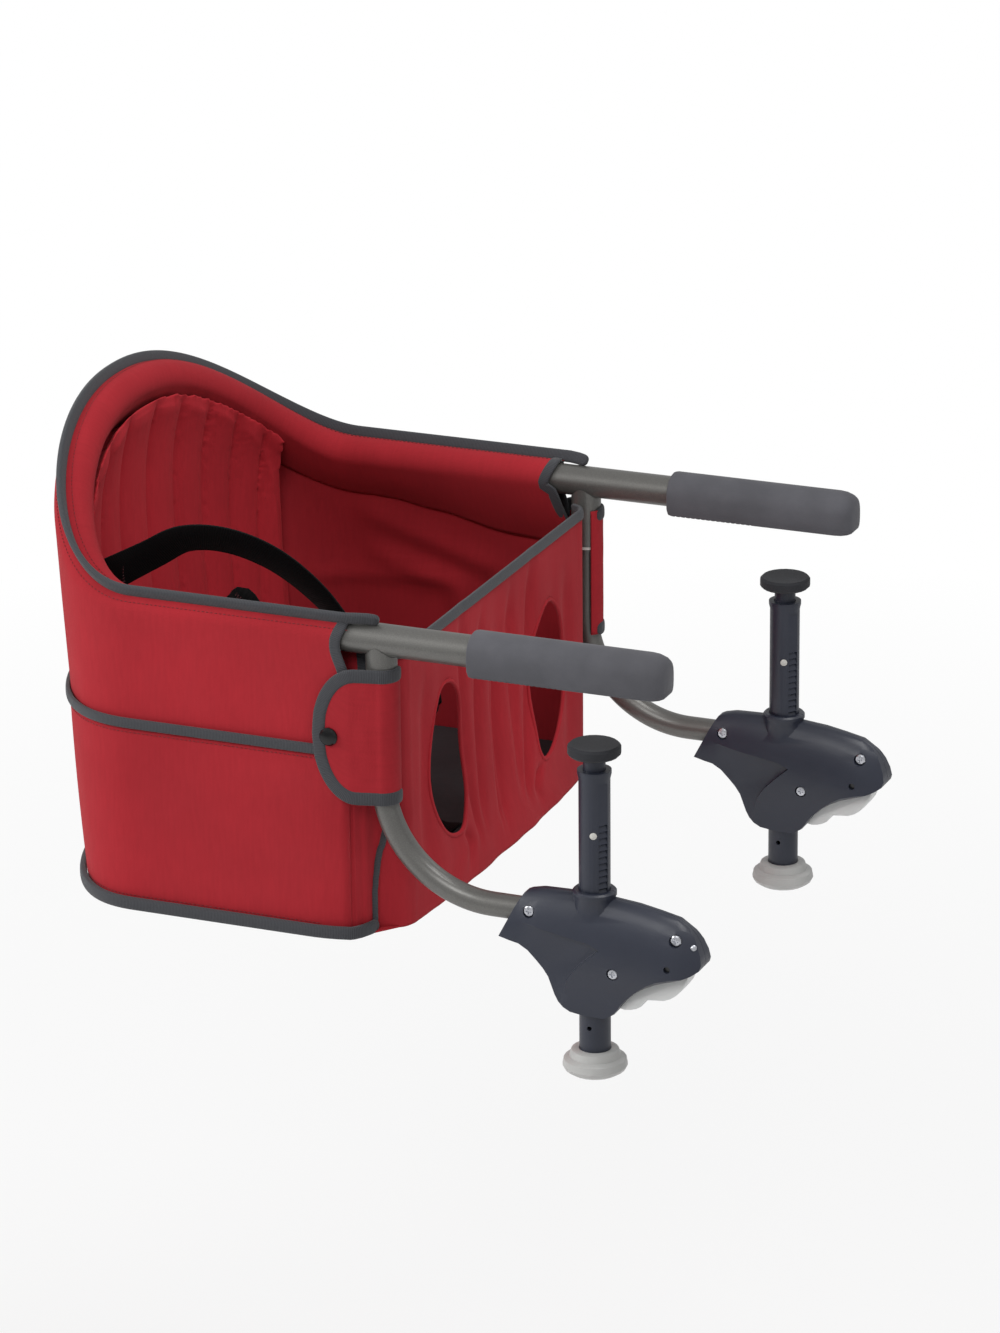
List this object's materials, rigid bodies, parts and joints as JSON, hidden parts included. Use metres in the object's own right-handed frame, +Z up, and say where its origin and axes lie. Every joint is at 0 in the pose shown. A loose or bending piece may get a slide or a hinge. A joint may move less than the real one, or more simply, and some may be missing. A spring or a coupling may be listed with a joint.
{
  "type": "hook on table chair",
  "caption": "Fabric baby seat that hooks onto a table edge: bent steel frame, rubber grips above, ratchet clamps with screw pads and release levers below",
  "frame": {"origin": "Middle of the table's edge, level with the table top, halfway between the two arms", "axes": "+X from the seat over the table along the arms, +Y to the far (left) arm, +Z up"},
  "size_m": [0.5228, 0.4166, 0.398],
  "materials": {
    "warm_grey_enamel": "smooth warm grey metallic enamel on steel tube",
    "grip_rubber": "matt moulded rubber",
    "slate_moulding": "satin blue-grey moulded plastic",
    "pale_moulding": "semi-gloss pale grey moulded plastic",
    "pad_rubber": "matt dark rubber",
    "bright_steel": "bright zinc plated steel",
    "red_cloth": "matt plain woven polyester",
    "grey_binding": "ribbed dark grey binding over cord",
    "black_webbing": "ribbed black webbing",
    "black_moulding": "black moulded plastic",
    "board_plastic": "dark moulded board",
    "natural_plastic": "off-white moulded plastic"
  },
  "bodies": {
    "seat_frame": {"upper_frame_tube": "warm_grey_enamel", "right_grip": "grip_rubber", "right_swivel_socket": "warm_grey_enamel", "right_swivel_bush": "natural_plastic", "right_side_panel": "red_cloth", "right_snap_flap": "red_cloth", "right_snap_cap": "black_moulding", "left_grip": "grip_rubber", "left_swivel_socket": "warm_grey_enamel", "left_swivel_bush": "natural_plastic", "left_side_panel": "red_cloth", "left_snap_flap": "red_cloth", "left_snap_cap": "black_moulding", "back_panel": "red_cloth", "back_pad": "red_cloth", "front_panel": "red_cloth", "pocket_panel": "red_cloth", "base_panel": "red_cloth", "base_board": "board_plastic", "top_piping": "grey_binding", "pocket_piping": "grey_binding", "bottom_piping": "grey_binding", "right_waist_strap": "black_webbing", "left_waist_strap": "black_webbing", "crotch_strap": "black_webbing", "strap_buckle": "black_moulding"},
    "right_arm": {"right_lower_tube": "warm_grey_enamel", "right_clamp_outer_shell": "slate_moulding", "right_clamp_inner_shell": "slate_moulding", "right_clamp_screw_rear": "bright_steel", "right_clamp_screw_front": "bright_steel", "right_clamp_screw_lower": "bright_steel", "right_lever_pin": "bright_steel", "right_lever_spring": "bright_steel"},
    "right_post": {"right_ratchet_post": "slate_moulding", "right_post_bush": "natural_plastic", "right_post_rivet": "natural_plastic"},
    "right_knob": {"right_hand_knob": "pale_moulding", "right_screw_spindle": "bright_steel"},
    "right_pad": {"right_pad_stem": "slate_moulding", "right_rubber_pad": "pad_rubber"},
    "right_lever": {"right_release_lever": "pale_moulding"},
    "right_pawl": {"right_ratchet_pawl": "bright_steel"},
    "left_arm": {"left_lower_tube": "warm_grey_enamel", "left_clamp_outer_shell": "slate_moulding", "left_clamp_inner_shell": "slate_moulding", "left_clamp_screw_rear": "bright_steel", "left_clamp_screw_front": "bright_steel", "left_clamp_screw_lower": "bright_steel", "left_lever_pin": "bright_steel", "left_lever_spring": "bright_steel"},
    "left_post": {"left_ratchet_post": "slate_moulding", "left_post_bush": "natural_plastic", "left_post_rivet": "natural_plastic"},
    "left_knob": {"left_hand_knob": "pale_moulding", "left_screw_spindle": "bright_steel"},
    "left_pad": {"left_pad_stem": "slate_moulding", "left_rubber_pad": "pad_rubber"},
    "left_lever": {"left_release_lever": "pale_moulding"},
    "left_pawl": {"left_ratchet_pawl": "bright_steel"}
  },
  "joints": [
    {"name": "right_arm_swivel", "type": "hinge", "parent": "seat_frame", "child": "right_arm", "pos_m": [-0.01, -0.185, -0.05], "axis": [0, 0, 1], "range_deg": [0, 45]},
    {"name": "right_post_slide", "type": "slide", "parent": "right_arm", "child": "right_post", "axis": [0, 0, 1], "range_m": [-0.038, 0.018]},
    {"name": "right_knob_turn", "type": "hinge", "parent": "right_post", "child": "right_knob", "pos_m": [0.143, -0.185, -0.262], "axis": [0, 0, 1], "range_deg": [-1080, 1440]},
    {"name": "right_pad_slide", "type": "slide", "parent": "right_post", "child": "right_pad", "axis": [0, 0, 1], "range_m": [-0.0095, 0.0125]},
    {"name": "right_lever_squeeze", "type": "hinge", "parent": "right_arm", "child": "right_lever", "pos_m": [0.201, -0.185, -0.185], "axis": [0, 1, 0], "range_deg": [0, 8], "stiffness_Nm_per_rad": 0.25, "springref_deg": -9.74},
    {"name": "right_pawl_slide", "type": "slide", "parent": "right_arm", "child": "right_pawl", "axis": [1, 0, 0], "range_m": [-0.0001, 0.0018]},
    {"name": "left_arm_swivel", "type": "hinge", "parent": "seat_frame", "child": "left_arm", "pos_m": [-0.01, 0.185, -0.05], "axis": [0, 0, -1], "range_deg": [0, 45]},
    {"name": "left_post_slide", "type": "slide", "parent": "left_arm", "child": "left_post", "axis": [0, 0, 1], "range_m": [-0.038, 0.018]},
    {"name": "left_knob_turn", "type": "hinge", "parent": "left_post", "child": "left_knob", "pos_m": [0.143, 0.185, -0.262], "axis": [0, 0, 1], "range_deg": [-1080, 1440]},
    {"name": "left_pad_slide", "type": "slide", "parent": "left_post", "child": "left_pad", "axis": [0, 0, 1], "range_m": [-0.0095, 0.0125]},
    {"name": "left_lever_squeeze", "type": "hinge", "parent": "left_arm", "child": "left_lever", "pos_m": [0.201, 0.185, -0.185], "axis": [0, 1, 0], "range_deg": [0, 8], "stiffness_Nm_per_rad": 0.25, "springref_deg": -9.74},
    {"name": "left_pawl_slide", "type": "slide", "parent": "left_arm", "child": "left_pawl", "axis": [1, 0, 0], "range_m": [-0.0001, 0.0018]}
  ],
  "couplings": [
    {"joint": "right_pad_slide", "follows": "right_knob_turn", "m_per_rad": 0.00047746},
    {"joint": "right_pawl_slide", "follows": "right_lever_squeeze", "m_per_rad": 0.0115},
    {"joint": "left_pad_slide", "follows": "left_knob_turn", "m_per_rad": 0.00047746},
    {"joint": "left_pawl_slide", "follows": "left_lever_squeeze", "m_per_rad": 0.0115}
  ]
}
